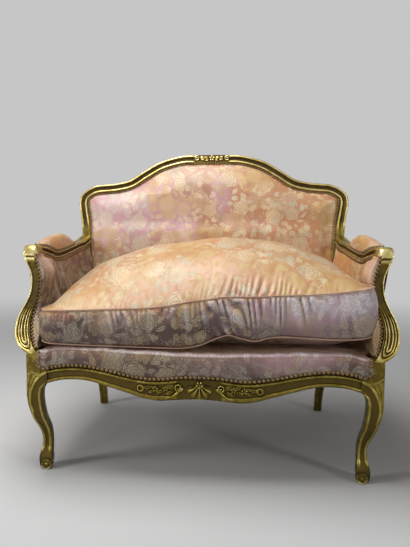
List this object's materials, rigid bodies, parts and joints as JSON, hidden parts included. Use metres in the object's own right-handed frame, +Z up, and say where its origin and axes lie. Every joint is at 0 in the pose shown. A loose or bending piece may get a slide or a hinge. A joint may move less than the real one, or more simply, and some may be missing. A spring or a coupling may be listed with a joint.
{
  "type": "bergere chair",
  "caption": "Wide upholstered bergere chair with closed arms, serpentine gilt show-wood frame on cabriole legs, nailed brocade covers and a loose crowned seat cushion.",
  "frame": {"origin": "on the floor, under the middle of the chair's bounding box", "axes": "+X to the right seen from the front, +Y towards the back, +Z up; millimetres in the source, metres in the row"},
  "size_m": [1.0474, 0.7972, 0.954],
  "materials": {
    "gilt_wood": "worn water gilding over carved beech",
    "beech": "plain planed beech",
    "silk_brocade": "silk brocade, salmon ground with cream and gold sprays",
    "silk_piping": "pale pink silk over cord",
    "jute": "undyed jute webbing and canvas",
    "curled_hair": "curled hair under linen",
    "feathers": "feathers and down in ticking",
    "spring_steel": "plain wire",
    "screw_steel": "plain countersunk screws"
  },
  "bodies": {
    "frame": {"front_leg_right": "gilt_wood", "front_leg_left": "gilt_wood", "rear_leg_and_stile_right": "gilt_wood", "rear_leg_and_stile_left": "gilt_wood", "side_rail_right": "gilt_wood", "side_rail_left": "gilt_wood", "arm_rail_right": "gilt_wood", "arm_rail_left": "gilt_wood", "arm_support_right": "gilt_wood", "arm_support_left": "gilt_wood", "front_rail": "gilt_wood", "rear_rail": "gilt_wood", "crest_rail": "gilt_wood", "corner_block_front_right": "beech", "corner_block_front_left": "beech", "corner_block_rear_right": "beech", "corner_block_rear_left": "beech", "crest_dowel_right": "beech", "crest_dowel_left": "beech", "lower_back_rail": "beech", "corner_screw_front_right": "screw_steel", "corner_screw_front_left": "screw_steel", "corner_screw_rear_right": "screw_steel", "corner_screw_rear_left": "screw_steel", "seat_webbing": "jute", "seat_spring_1": "spring_steel", "seat_spring_2": "spring_steel", "seat_spring_3": "spring_steel", "seat_spring_4": "spring_steel", "seat_spring_5": "spring_steel", "seat_spring_6": "spring_steel", "seat_spring_7": "spring_steel", "seat_spring_8": "spring_steel", "seat_spring_9": "spring_steel", "spring_canvas": "jute", "back_canvas": "jute", "deck_stuffing": "curled_hair", "back_stuffing": "curled_hair", "arm_stuffing_right": "curled_hair", "arm_stuffing_left": "curled_hair", "manchette_stuffing_right": "curled_hair", "manchette_stuffing_left": "curled_hair", "deck_cover": "silk_brocade", "inside_back_cover": "silk_brocade", "outside_back_cover": "silk_brocade", "inside_arm_cover_right": "silk_brocade", "inside_arm_cover_left": "silk_brocade", "outside_arm_cover_right": "silk_brocade", "outside_arm_cover_left": "silk_brocade", "manchette_cover_right": "silk_brocade", "manchette_cover_left": "silk_brocade"},
    "seat_cushion": {"cushion_filling": "feathers", "cushion_cover": "silk_brocade", "cushion_piping_bottom": "silk_piping", "cushion_piping_top": "silk_piping"}
  },
  "joints": [
    {"name": "cushion_lift", "type": "slide", "parent": "frame", "child": "seat_cushion", "axis": [0, 0, 1], "range_m": [0, 0.6]}
  ]
}
